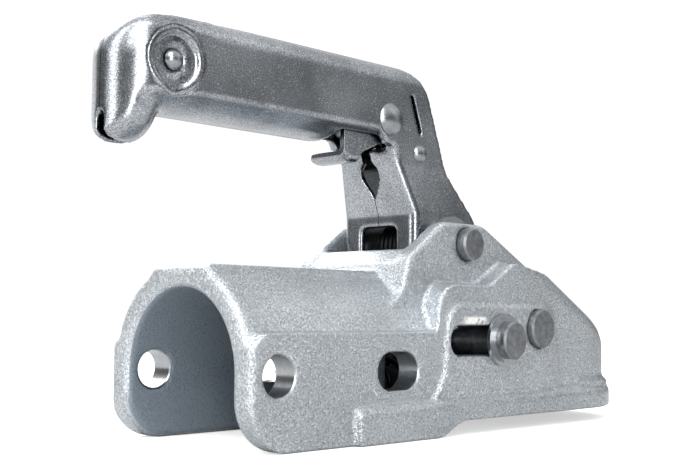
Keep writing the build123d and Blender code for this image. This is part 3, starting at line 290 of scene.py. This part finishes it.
def sheetMaterial():
    material, shader = newMaterial("zincPressing")
    look = sheetLook
    coords = addNode(material, "TexCoord", {})["Object"]
    x, y, z = addNode(material, "SeparateXYZ", {"Vector": coords})
    cloud, grain, wear = patterns(material, coords, [look["cloud"], look["grain"], look["worn"]])
    streaks = []
    for stretch, turned, pattern in look["scratches"]:
        mapping = {"Scale": stretch, "Rotation": turned, "Vector": coords}
        streaks += patterns(material, addNode(material, "Mapping", mapping)[0], [pattern])
    marks = addNode(material, "Math", {0: streaks[0], 1: streaks[1]}, operation="MAXIMUM")[0]
    ramps = []
    for source, name in ((marks, "scratchStops"), (wear, "wornStops"), (grain, "pitStops"),
                         (cloud, "roughStops")):
        stops = [(position, gray(level)) for position, level in look[name]]
        ramps.append(addNode(material, "ValToRGB", {"Fac": source}, stops)[0])
    scratch, worn, pits, rough = ramps
    baseColors = [toLinear(look[name]) for name in ("dark", "light")]
    base = addNode(material, "ValToRGB", {"Fac": cloud}, list(zip(look["baseStops"], baseColors)))[0]
    scratch = addNode(material, "Mix", {0: 1.0, 6: scratch, 7: worn}, data_type="RGBA",
                      blend_type="MULTIPLY")[2]
    share = addNode(material, "Math", {0: scratch, 1: look["scratchShare"]}, operation="MULTIPLY")[0]
    color = addNode(material, "Mix", {0: share, 6: base, 7: gray(look["scratchWhite"])},
                    data_type="RGBA")[2]
    color = addNode(material, "Mix", {0: 1.0, 6: color, 7: pits}, data_type="RGBA",
                    blend_type="MULTIPLY")[2]
    # Walls that face each other inside the pressing are painted dark as shade, and the seam's line is dark
    # too
    inward = addNode(material, "Attribute", {}, attribute_name="inward")["Fac"]
    innerShade = addNode(material, "Math", {0: inward, 1: look["innerShadeShare"]}, operation="MULTIPLY")[0]
    for mask in (innerShade, seamMask(material, x, y, z)):
        color = addNode(material, "Mix", {0: mask, 6: color, 7: toLinear(look["innerShadeAndSeam"])},
                        data_type="RGBA")[2]
    grainPart = addNode(material, "Math", {0: grain, 1: look["bumpGrain"]}, operation="MULTIPLY")[0]
    marksPart = addNode(material, "Math", {0: marks, 1: look["bumpMarks"]}, operation="MULTIPLY")[0]
    height = addNode(material, "Math", {0: grainPart, 1: marksPart}, operation="ADD")[0]
    setInputs(material, shader, {
        "Base Color": color,
        "Metallic": look["metallic"],
        "Roughness": rough,
        "Normal": addNode(material, "Bump", {
            "Strength": look["bumpStrength"], "Distance": look["bumpHeight"], "Height": height})[0],
    })
    return material


# Plain steels, with faint stains that break up their shine
steelLook = {
    "cloud": (2.4 * mm, 4.0, 0.7),
    "grain": (0.5 * mm, 3.0, 0.6),
    # where the cloudy pattern turns from stained to clean
    "stainStops": (0.34, 0.66),
    "bumpStrength": 0.18,
    "bumpHeight": 0.08 * mm,
}
steelTable = {
    # name: colour, roughness, brightness of its stains, metallic
    "turnedSteel": ("#96999c", 0.34, 0.55, 0.95),  # plated turned pins: mid grey with a soft shine
    "washerSteel": ("#b4b7ba", 0.22, 0.8, 0.95),  # plated washers: pale and glossy
    "rivetSteel": ("#9fa3a7", 0.27, 0.7, 0.95),  # plated rivet heads: glossy, a little stained
    "boreSteel": ("#b2b5b8", 0.24, 0.8, 0.95),  # machined bores: pale cut metal
    "slotSteel": ("#a2a8af", 0.35, 0.6, 0.95),  # slot edges: duller and bluer
    "springSteel": ("#26282b", 0.4, 0.6, 0.95),  # spring wire: almost black
    "darkInnerSteel": ("#4a4f55", 0.45, 0.6, 0.7),  # inner castings: dark with little shine
}


def plainMetal(name, tint, rough, spots, metallic):
    material, shader = newMaterial(name)
    look = steelLook
    coords = addNode(material, "TexCoord", {})["Object"]
    cloud, grain = patterns(material, coords, [look["cloud"], look["grain"]])
    clean = toLinear(tint)
    stained = tuple(part * spots for part in clean[:3]) + (1.0,)
    stainStops = list(zip(look["stainStops"], (stained, clean)))
    setInputs(material, shader, {
        "Base Color": addNode(material, "ValToRGB", {"Fac": cloud}, stainStops)[0],
        "Metallic": metallic,
        "Roughness": rough,
        "Normal": addNode(material, "Bump", {
            "Strength": look["bumpStrength"], "Distance": look["bumpHeight"], "Height": grain})[0],
    })
    return material


castZinc = castMaterial()
sheetZinc = sheetMaterial()
steels = {name: plainMetal(name, *look) for name, look in steelTable.items()}
print("materials ready")

# Steps that several pieces share. boxMargin in metres, rayGap in millimetres, creaseAngle in degrees
shareSettings = {
    "boxMargin": 0.000001,
    "zoneFactor": 0.5,
    "rayGap": 0.3,
    "creaseAngle": 28,
}


def select(piece):
    bpy.ops.object.select_all(action="DESELECT")
    piece.select_set(True)
    bpy.context.view_layer.objects.active = piece


def dress(piece, material, body):
    piece.data.materials.clear()
    piece.data.materials.append(material)
    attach(piece, body)


def newMesh(name, work):
    mesh = bpy.data.meshes.new(name)
    work.to_mesh(mesh)
    work.free()
    return mesh


def newPiece(name, data):
    # New object of a mesh or a curve, and the only one selected
    piece = bpy.data.objects.new(name, data)
    bpy.context.scene.collection.objects.link(piece)
    select(piece)
    return piece


def copyNode(nodeName, newName):
    piece = nodes[nodeName].copy()
    piece.data = nodes[nodeName].data.copy()
    for key in list(piece.keys()):
        del piece[key]
    piece.name = newName
    piece.parent = None
    bpy.context.scene.collection.objects.link(piece)
    return piece


def softCopy(nodeName, newName, settings):
    # Copy of a solid with an even mesh and soft cast or pressed edges
    piece = copyNode(nodeName, newName)
    select(piece)
    remesh = piece.modifiers.new("remesh", "REMESH")
    remesh.mode = "VOXEL"
    remesh.voxel_size = settings["voxel"]
    remesh.use_smooth_shade = True
    smooth = piece.modifiers.new("smooth", "SMOOTH")
    smooth.factor = settings["smoothFactor"]
    smooth.iterations = settings["smoothSteps"]
    for modifier in ("remesh", "smooth"):
        bpy.ops.object.modifier_apply(modifier=modifier)
    return piece


def softZone(piece, inZone, steps):
    # Rounds the part of a mesh whose points lie in the zone
    group = piece.vertex_groups.new(name="softZone")
    for vertex in piece.data.vertices:
        weight = inZone(vertex.co / mm)
        if weight > 0:
            group.add([vertex.index], min(weight, 1.0), "REPLACE")
    select(piece)
    smooth = piece.modifiers.new("zone", "SMOOTH")
    smooth.factor = shareSettings["zoneFactor"]
    smooth.iterations = steps
    smooth.vertex_group = "softZone"
    bpy.ops.object.modifier_apply(modifier="zone")


def keepInBox(piece, nodeName):
    # Holds every point inside the solid's own box
    margin = shareSettings["boxMargin"]
    corners = [Vector(corner) for corner in nodes[nodeName].bound_box]
    low = [min(corner[axis] for corner in corners) + margin for axis in range(3)]
    high = [max(corner[axis] for corner in corners) - margin for axis in range(3)]
    for vertex in piece.data.vertices:
        vertex.co = [min(max(vertex.co[axis], low[axis]), high[axis]) for axis in range(3)]


def surfaceTree(piece):
    # Search tree of a mesh, for rays sent at its surface
    return BVHTree.FromPolygons([vertex.co.copy() for vertex in piece.data.vertices],
                                [tuple(face.vertices) for face in piece.data.polygons])


def markInward(piece, reach):
    # Point attribute that is 1 where a wall faces another wall of the same piece, used to place painted
    # shade
    tree = surfaceTree(piece)
    values = []
    for vertex in piece.data.vertices:
        start = vertex.co + vertex.normal * shareSettings["rayGap"] * mm
        values.append(1.0 if tree.ray_cast(start, vertex.normal, reach)[0] else 0.0)
    layer = piece.data.attributes.new("inward", "FLOAT", "POINT")
    layer.data.foreach_set("value", values)


def smoothNode(nodeName, material):
    node = nodes[nodeName]
    node.data.materials.clear()
    node.data.materials.append(material)
    select(node)
    bpy.ops.object.shade_smooth_by_angle(angle=math.radians(shareSettings["creaseAngle"]))


# Housing with soft cast edges
housingSettings = {
    "voxel": 1.09 * mm,
    "smoothSteps": 2,
    "smoothFactor": 0.5,
}
# Hollow fillet in the casting's side, just above its bottom rim. Sizes in millimetres
rimSettings = {
    "top": -12.2,
    "fade": 9.0,
    "depth": 1.3,
    "back": 36.0,
    "backSoft": 8.0,
    "side": 40.0,
    "flat": 0.85,
}


def deepenRim(piece):
    rim = rimSettings
    facings = [abs(vertex.normal.y) for vertex in piece.data.vertices]
    for vertex, facing in zip(piece.data.vertices, facings):
        x, y, z = vertex.co / mm
        rise = z - rim["top"]
        if facing > rim["flat"] and 0 < rise < rim["fade"] and x > rim["back"] and abs(y) > rim["side"]:
            share = (1 - rise / rim["fade"]) ** 2 * min(1.0, (x - rim["back"]) / rim["backSoft"])
            vertex.co.y -= math.copysign(rim["depth"] * share, y) * mm


castBody = softCopy("housing", "castBody", housingSettings)
deepenRim(castBody)
keepInBox(castBody, "housing")
dress(castBody, castZinc, "housing")
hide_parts("housing")
print("housing", len(castBody.data.polygons))

# Machined bores and slots through the side walls. Sizes in millimetres
linerSettings = {
    "inset": 0.12,
    "wall": 0.9,
    "chamfer": 0.45,
    "faceGap": 0.25,
    "wallIn": 30.2,
    "steps": 72,
    "creaseAngle": 30,
}
linerTable = {
    # name: x, z, radius, stretch, outer face
    "rearBore": (0.0, 0.0, 7.25, 0.0, 40.7),
    "frontBore": (59.4, 0.0, 7.25, 7.8, 40.7),
    "sideSlot": (106.9, 10.9, 6.0, 27.0, 42.7),
}


def ringPiece(name, place, inner, outer, low, high, stretch):
    # Turned ring across the part, chamfered on its bore, or an oblong one
    chamfer = linerSettings["chamfer"]
    profile = [(inner + chamfer, low), (outer, low), (outer, high), (inner + chamfer, high),
               (inner, high - chamfer), (inner, low + chamfer)]
    half = linerSettings["steps"] // 2
    turns = [(math.pi * (step / half - 0.5), 0.5 * stretch) for step in range(half + 1)]
    turns += [(math.pi * (step / half + 0.5), -0.5 * stretch) for step in range(half + 1)]
    if not stretch:
        turns = turns[:half] + turns[half + 1:-1]
    work = bmesh.new()
    rows = []
    for angle, shift in turns:
        rows.append([work.verts.new(((place[0] + shift + radius * math.cos(angle)) * mm, y * mm,
                                     (place[1] + radius * math.sin(angle)) * mm)) for radius, y in profile])
    for index, second in enumerate(rows):
        first = rows[index - 1]
        for start in range(len(profile)):
            after = (start + 1) % len(profile)
            work.faces.new((first[start], first[after], second[after], second[start]))
    bmesh.ops.recalc_face_normals(work, faces=work.faces)
    piece = newPiece(name, newMesh(name, work))
    bpy.ops.object.shade_smooth_by_angle(angle=math.radians(linerSettings["creaseAngle"]))
    return piece


for linerName, (x, z, radius, stretch, face) in linerTable.items():
    for side, sideName in ((-1, "Right"), (1, "Left")):
        low, high = sorted((side * linerSettings["wallIn"], side * (face - linerSettings["faceGap"])))
        liner = ringPiece(linerName + sideName, (x, z), radius - linerSettings["inset"],
                          radius + linerSettings["wall"], low, high, stretch)
        if linerName == "sideSlot":
            dress(liner, steels["slotSteel"], "housing")
        else:
            dress(liner, steels["boreSteel"], "housing")
print("bores ready")

# Handle pressing with soft folds
handleSettings = {
    "voxel": 0.85 * mm,
    "smoothSteps": 6,
    "smoothFactor": 0.5,
    "edgeSteps": 30,
    "crownSteps": 8,
    "inwardReach": 40 * mm,
}
# Zones of the handle that are rounded further. Places and reaches in millimetres
zoneSettings = {
    "gripZ": 95.0,
    "gripReach": 6.0,
    "gripStart": -30,
    "gripEnd": 84,
    "gripSide": 10,
    "footX": -20,
    "footZ": 100,
    "footSide": 3,
    "heelX": 82.0,
    "heelZ": 90.0,
    "heelReach": 11.0,
    "heelSide": 6,
    "crownX": -22.0,
    "crownZ": 104,
    "crownReach": 16.0,
}
# Rounding of the nose. A power of 2 is round and a higher one is squarer. Sizes in millimetres
noseSettings = {
    "x": -29.2,
    "z": 107.0,
    "half": 17.0,
    "fadeEnd": -8.0,
    "crown": 3.5,
    "end": 1.9,
    "riseSoft": 9.0,
    "soleX": -22.0,
    "soleZ": 89.0,
    "soleDrop": 0.12,
}


def underEdge(place):
    # Lower edges of the grip and the foot of the nose, where the sheet rolls round
    x, y, z = place
    zone = zoneSettings
    side = abs(y)
    rise = max(0.0, 1.0 - abs(z - zone["gripZ"]) / zone["gripReach"])
    grip = rise if zone["gripStart"] < x < zone["gripEnd"] and side > zone["gripSide"] else 0.0
    foot = 1.0 if x < zone["footX"] and z < zone["footZ"] and side > zone["footSide"] else 0.0
    away = math.hypot(x - zone["heelX"], z - zone["heelZ"])
    heel = max(0.0, 1.0 - away / zone["heelReach"]) if side > zone["heelSide"] else 0.0
    return max(grip, foot, heel)


def crownEdge(place):
    # Where the nose's dome runs out into the crown
    zone = zoneSettings
    share = max(0.0, 1.0 - abs(place[0] - zone["crownX"]) / zone["crownReach"])
    return share if place[2] > zone["crownZ"] else 0.0


def shapeNose(piece):
    # Fuller crown and rounder end than the solid's ball-ended nose
    nose = noseSettings
    for vertex in piece.data.vertices:
        x, y, z = vertex.co / mm
        rise = z - nose["z"]
        if x > nose["fadeEnd"]:
            continue
        if rise > 0:
            weight = min(1.0, (nose["fadeEnd"] - x) / (nose["fadeEnd"] - nose["x"]))
            weight *= weight * (3 - 2 * weight)
            weight *= min(1.0, rise / nose["riseSoft"])
            back = max(nose["x"] - x, 0.0)
            radius = math.sqrt(back ** 2 + y ** 2 + rise ** 2)
            across = (abs(y) ** nose["crown"] + rise ** nose["crown"]) ** (1 / nose["crown"])
            size = (back ** nose["end"] + across ** nose["end"]) ** (1 / nose["end"])
            change = 1 + weight * (radius / size - 1)
            side = min(abs(y) * change, max(nose["half"], abs(y)))
            vertex.co = (
                (x - back * (change - 1)) * mm,
                math.copysign(side, y) * mm,
                min(nose["z"] + rise * change, nose["z"] + nose["half"]) * mm,
            )
        elif x < nose["soleX"] and z < nose["soleZ"]:
            vertex.co.z -= nose["soleDrop"] * (nose["soleZ"] - z) * mm


# Dish pressed in round the nose rivet, on both sides. Sizes in millimetres
dishSettings = {
    "x": -27.0,
    "z": 106.6,
    "outer": 12.6,
    "squeeze": 0.15,
    "steps": 72,
    # half widths of the handle at the dish's floor, and the least depth below its edge
    "floor": 15.2,
    "lowest": 14.5,
    "least": 1.3,
    # steps on each side over which the edge is evened out
    "blur": 3,
    # how far the pressing's own mesh is sunk below the dish, and where that starts
    "sink": 0.35,
    "sinkMargin": 0.6,
    "reach": 8.0,
    "rayFrom": 40,
    "sheet": 0.3,
    # radius, share of the way from the floor to the pressing's surface, height above that
    "lip": ((3.2, 0.0, 0.04), (7.5, 0.0, 0.04), (8.1, 0.0, 0.16), (8.6, 0.0, 0.08), (9.3, 0.6, 0.1),
            (9.9, 0.97, 0.16), (10.5, 1.0, 0.28), (11.2, 1.0, 0.24), (11.8, 1.0, 0.05), (12.6, 1.0, -0.5)),
}


def dishShare(angle):
    # The dish is narrower towards the rounded end of the nose
    return 1 - dishSettings["squeeze"] * max(0.0, -math.cos(angle))


def dishPlace(radius, angle):
    # X and Z of a point of the dish
    reach = radius * dishShare(angle)
    return dishSettings["x"] + reach * math.cos(angle), dishSettings["z"] + reach * math.sin(angle)


def dishPolar(x, z):
    # Radius, as on the dish's wide side, and angle of a point of the handle's side
    across, rise = x - dishSettings["x"], z - dishSettings["z"]
    angle = math.atan2(rise, across)
    return math.hypot(across, rise) / dishShare(angle), angle


def dishEdges(piece, side):
    # Half width of the pressing's outer surface round the rivet's dish, one value per step
    tree = surfaceTree(piece)
    edges = []
    for step in range(dishSettings["steps"]):
        x, z = dishPlace(dishSettings["outer"], 2 * math.pi * step / dishSettings["steps"])
        start = Vector((x, side * dishSettings["rayFrom"], z)) * mm
        place = tree.ray_cast(start, Vector((0, -side, 0)))[0]
        edges.append(abs(place.y) / mm if place else edges[-1])
    span = dishSettings["blur"]
    return [sum(edges[(step + shift) % len(edges)] for shift in range(-span, span + 1)) / (2 * span + 1)
            for step in range(len(edges))]


def dishFloor(edge):
    return max(min(dishSettings["floor"], edge - dishSettings["least"]), dishSettings["lowest"])


def dishHeight(edges, x, z):
    # Half width of the dish's surface at a point of the side
    radius, angle = dishPolar(x, z)
    edge = edges[int(angle / (2 * math.pi) % 1.0 * len(edges)) % len(edges)]
    floor = dishFloor(edge)
    lip = dishSettings["lip"]
    for (low, lowShare, _), (high, highShare, _) in zip(lip, lip[1:]):
        if radius <= high:
            share = lowShare + (highShare - lowShare) * max(radius - low, 0.0) / (high - low)
            return floor + (edge - floor) * share
    return edge


def sinkMesh(piece, side, edges):
    # Sinks the pressing's own mesh below the dish
    dish = dishSettings
    for vertex in piece.data.vertices:
        x, y, z = vertex.co / mm
        if side * y > dish["reach"] and dishPolar(x, z)[0] < dish["outer"] - dish["sinkMargin"]:
            vertex.co.y = side * min(abs(y), dishHeight(edges, x, z) - dish["sink"]) * mm


def pressDish(piece, side):
    # Lays a crisp dish with a rolled lip over the pressing's sunken mesh
    edges = dishEdges(piece, side)
    sinkMesh(piece, side, edges)
    work = bmesh.new()
    rows = []
    for step, edge in enumerate(edges):
        angle = 2 * math.pi * step / len(edges)
        floor = dishFloor(edge)
        row = []
        for radius, share, lift in dishSettings["lip"]:
            # The innermost point stays on the rivet's seat where the floor is lower
            width = (floor if row else dishSettings["floor"]) + (edge - floor) * share + lift
            x, z = dishPlace(radius, angle)
            row.append(work.verts.new(Vector((x, side * width, z)) * mm))
        rows.append(row)
    for index, second in enumerate(rows):
        first = rows[index - 1]
        for start in range(len(first) - 1):
            face = (first[start], second[start], second[start + 1], first[start + 1])
            work.faces.new(face if side > 0 else face[::-1])
    dish = newPiece("rivetDishLeft" if side > 0 else "rivetDishRight", newMesh("rivetDish", work))
    bpy.ops.object.shade_smooth()
    thick = dish.modifiers.new("sheet", "SOLIDIFY")
    thick.thickness = dishSettings["sheet"] * mm
    thick.offset = -1
    bpy.ops.object.modifier_apply(modifier="sheet")
    return dish


foldedHandle = softCopy("handle", "foldedHandle", handleSettings)
shapeNose(foldedHandle)
softZone(foldedHandle, underEdge, handleSettings["edgeSteps"])
softZone(foldedHandle, crownEdge, handleSettings["crownSteps"])
dishes = [pressDish(foldedHandle, side) for side in (-1, 1)]
keepInBox(foldedHandle, "handle")
markInward(foldedHandle, handleSettings["inwardReach"])
dress(foldedHandle, sheetZinc, "handle")
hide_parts("handle")
for dish in dishes:
    dress(dish, sheetZinc, "handle")
print("handle", len(foldedHandle.data.polygons))

# Trigger with rolled sheet edges and a lifted finger tip. Curl sizes in millimetres
triggerSettings = {
    "voxel": 0.5 * mm,
    "smoothSteps": 3,
    "smoothFactor": 0.5,
    "curlReach": 6.0,
    "curlRise": 1.8,
}
softTrigger = softCopy("release_trigger", "softTrigger", triggerSettings)
tip = min(vertex.co.x for vertex in softTrigger.data.vertices) / mm
for vertex in softTrigger.data.vertices:
    reach = tip + triggerSettings["curlReach"] - vertex.co.x / mm
    if reach > 0:
        vertex.co.z += triggerSettings["curlRise"] * (reach / triggerSettings["curlReach"]) ** 2 * mm
keepInBox(softTrigger, "release_trigger")
dress(softTrigger, sheetZinc, "trigger")
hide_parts("release_trigger")
print("trigger", len(softTrigger.data.polygons))

# Springs as round wire. Sizes in millimetres, apart from closingEnd
springSettings = {
    "stepsPerTurn": 28,
    "wireSides": 3,
    "closingEnd": 82.7 * mm,
    "closingLength": 52.9,
    "closingTravel": 27.0,
}
hingeCoilSettings = {
    "axis": "Y",
    "center": (111.4, 0, 50.2),
    "radius": 10.8,
    "wire": 2.4,
    "start": -7.0,
    "pitch": 2.5,
    "turns": 5.75,
}
triggerCoilSettings = {
    "axis": "Y",
    "center": (80.6, 0, 100.1),
    "radius": 7.0,
    "wire": 1.2,
    "start": -8.1,
    "pitch": 1.3,
    "turns": 4.0,
}
closingCoilSettings = {
    "axis": "X",
    "center": (0, 0, -7.0),
    "radius": 9.5,
    "wire": 2.4,
    "start": 83.9,
    "pitch": 9.25,
    "turns": 5.5,
}


def coilPiece(name, axis, center, radius, wire, start, pitch, turns):
    # Round wire wound along axis X or Y
    count = int(turns * springSettings["stepsPerTurn"]) + 1
    curve = bpy.data.curves.new(name, "CURVE")
    curve.dimensions = "3D"
    curve.bevel_depth = wire / 2 * mm
    curve.bevel_resolution = springSettings["wireSides"]
    curve.use_fill_caps = True
    line = curve.splines.new("POLY")
    line.points.add(count - 1)
    for index in range(count):
        turn = index / springSettings["stepsPerTurn"]
        angle = 2 * math.pi * turn
        along = start + pitch * turn
        if axis == "X":
            place = (along, center[1] + radius * math.cos(angle), center[2] + radius * math.sin(angle))
        else:
            place = (center[0] + radius * math.cos(angle), along, center[2] + radius * math.sin(angle))
        line.points[index].co = (*(part * mm for part in place), 1.0)
    newPiece(name, curve)
    bpy.ops.object.convert(target="MESH")
    return bpy.context.object


hingeCoil = coilPiece("hingeCoil", **hingeCoilSettings)
dress(hingeCoil, steels["springSteel"], "housing")
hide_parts("handle_spring")
triggerCoil = coilPiece("triggerCoil", **triggerCoilSettings)
dress(triggerCoil, steels["springSteel"], "handle")
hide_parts("trigger_spring")
closingCoil = coilPiece("closingCoil", **closingCoilSettings)
dress(closingCoil, steels["springSteel"], "housing")
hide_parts("closing_spring")
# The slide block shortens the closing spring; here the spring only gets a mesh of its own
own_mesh(closingCoil)
print("springs ready")

# Plain CAD pieces with their finishes
slotTable = {
    "nose_rivet": ("rivetSteel", "washer_steel"),
    "leg_rivet": ("rivetSteel", "washer_steel"),
    "stop_rivet": ("rivetSteel", "washer_steel"),
    "nose_spacer": ("turnedSteel", "turned_steel"),
    "trigger_bush": ("turnedSteel", "turned_steel"),
    "stop_sleeve": ("turnedSteel", "turned_steel"),
    "pivot_pin": ("turnedSteel", "turned_steel"),
    "pivot_washer_left": ("washerSteel", "washer_steel"),
    "pivot_washer_right": ("washerSteel", "washer_steel"),
    "pivot_sleeve_left": ("turnedSteel", "turned_steel"),
    "pivot_sleeve_right": ("turnedSteel", "turned_steel"),
    "catch_disc": ("darkInnerSteel", "dark_steel"),
    "slide_pin": ("turnedSteel", "turned_steel"),
    "slide_washer_left": ("washerSteel", "washer_steel"),
    "slide_washer_right": ("washerSteel", "washer_steel"),
    "slide_block": ("darkInnerSteel", "dark_steel"),
    "spring_guide": ("darkInnerSteel", "dark_steel"),
    "claw_pin": ("turnedSteel", "turned_steel"),
    "ball_claw": ("darkInnerSteel", "dark_steel"),
}
for nodeName, (steelName, slotName) in slotTable.items():
    smoothNode(nodeName, steels[steelName])
print("finishes ready")

# Pale floor, whiter for the camera than for the light it throws back
floorSettings = {
    "size": 6.0,
    "color": "#f4f4f3",
    "bounce": 0.6,
    "glow": 0.55,
    "glowColor": 1.0,
    "rough": 0.9,
}
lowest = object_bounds()[0][2]
bpy.ops.mesh.primitive_plane_add(size=floorSettings["size"], location=(0, 0, lowest))
floor = bpy.context.object
floor.name = "studioFloor"
floorMaterial, floorShader = newMaterial("studioFloor")
floorSeen = addNode(floorMaterial, "LightPath", {})["Is Camera Ray"]
floorColors = {0: floorSeen, 6: gray(floorSettings["bounce"]), 7: toLinear(floorSettings["color"])}
floorGlow = {0: floorSeen, 1: floorSettings["glow"]}
setInputs(floorMaterial, floorShader, {
    "Base Color": addNode(floorMaterial, "Mix", floorColors, data_type="RGBA")[2],
    "Emission Color": gray(floorSettings["glowColor"]),
    "Emission Strength": addNode(floorMaterial, "Math", floorGlow, operation="MULTIPLY")[0],
    "Roughness": floorSettings["rough"],
})
floor.data.materials.append(floorMaterial)

# Studio sky, white for the camera, with upright strips of light that the metal mirrors
skySettings = {
    "strength": 0.8,
    "cameraWhite": 1.3,
    # height, from 0 straight down to 1 straight up, and brightness there
    "heights": ((0.0, 0.3), (0.5, 0.16), (0.66, 0.2), (0.8, 1.3), (1.0, 1.2)),
    # start, end and softness in degrees, strength
    "strips": ((158, 172, 3, 5.4), (-136, -126, 6, 0.5), (60, 100, 10, 1.5), (-62, -36, 12, 0.42)),
}
world = bpy.data.worlds.new("studioWorld")
bpy.context.scene.world = world
world.use_nodes = True
skyCoords = addNode(world, "TexCoord", {})["Generated"]
skyX, skyY, skyZ = addNode(world, "SeparateXYZ", {"Vector": skyCoords})
halfHeight = addNode(world, "Math", {0: skyZ, 1: 0.5}, operation="MULTIPLY")[0]
skyHeight = addNode(world, "Math", {0: halfHeight, 1: 0.5}, operation="ADD")[0]
skyStops = [(position, gray(level)) for position, level in skySettings["heights"]]
skyTone = addNode(world, "ValToRGB", {"Fac": skyHeight}, skyStops)[0]
azimuth = addNode(world, "Math", {0: skyY, 1: skyX}, operation="ARCTAN2")[0]
strips = 0.0
for low, high, soft, strength in skySettings["strips"]:
    strip = band(world, azimuth, math.radians(low), math.radians(high), math.radians(soft))
    lit = addNode(world, "Math", {0: strip, 1: strength}, operation="MULTIPLY")[0]
    strips = addNode(world, "Math", {0: strips, 1: lit}, operation="ADD")[0]
stripColor = addNode(world, "CombineColor", {"Red": strips, "Green": strips, "Blue": strips})[0]
sky = addNode(world, "Mix", {0: 1.0, 6: skyTone, 7: stripColor}, data_type="RGBA", blend_type="ADD")[2]
skySeen = addNode(world, "LightPath", {})["Is Camera Ray"]
skyColors = {0: skySeen, 6: sky, 7: gray(skySettings["cameraWhite"])}
setInputs(world, world.node_tree.nodes["Background"], {
    "Color": addNode(world, "Mix", skyColors, data_type="RGBA")[2],
    "Strength": skySettings["strength"],
})

# Soft boxes, all aimed at one place inside the part
lightAim = Vector((0.07, 0.0, 0.04))
lightTable = {
    # name: place, power, width and height
    "keyBox": ((-0.5, -0.35, 0.8), 5.0, (0.5, 0.7)),
    "fillBox": ((-0.42, -0.5, 0.22), 2.1, (0.2, 0.5)),
    "rimBox": ((0.2, 0.7, 0.6), 4.0, (0.8, 0.5)),
}
for lightName, (place, power, size) in lightTable.items():
    bpy.ops.object.light_add(type="AREA", location=place)
    light = bpy.context.object
    light.name = lightName
    light.data.energy = power
    light.data.shape = "RECTANGLE"
    light.data.size, light.data.size_y = size
    aim = lightAim - Vector(place)
    light.rotation_euler = aim.to_track_quat("-Z", "Y").to_euler()
print("stage ready")

# Camera at the photograph's angle. Place in metres, angles in degrees
cameraSettings = {
    "place": (-0.24973, -0.31853, 0.02014),
    "turn": -45.475,
    "lift": 4.272,
    "roll": 0.406,
    "lens": 57.17,
    "sensor": 36.0,
    "near": 0.01,
    "size": (700, 467),
}
turn = math.radians(cameraSettings["turn"])
lift = math.radians(cameraSettings["lift"])
roll = math.radians(cameraSettings["roll"])
forward = Vector((-math.sin(turn) * math.cos(lift), math.cos(turn) * math.cos(lift), math.sin(lift)))
right = Vector((math.cos(turn), math.sin(turn), 0))
up = right.cross(forward)
rightRolled = right * math.cos(roll) + up * math.sin(roll)
upRolled = up * math.cos(roll) - right * math.sin(roll)
cameraData = bpy.data.cameras.new("photoCamera")
camera = bpy.data.objects.new("photoCamera", cameraData)
bpy.context.scene.collection.objects.link(camera)
turnMatrix = Matrix((rightRolled, upRolled, -forward)).transposed().to_4x4()
camera.matrix_world = Matrix.Translation(cameraSettings["place"]) @ turnMatrix
cameraData.lens = cameraSettings["lens"]
cameraData.sensor_width = cameraSettings["sensor"]
cameraData.clip_start = cameraSettings["near"]
cameraData.dof.use_dof = False
scene = bpy.context.scene
scene.camera = camera
scene.render.resolution_x, scene.render.resolution_y = cameraSettings["size"]
scene.view_settings.view_transform = "Standard"
scene.view_settings.look = "None"
scene.view_settings.exposure = 0.0
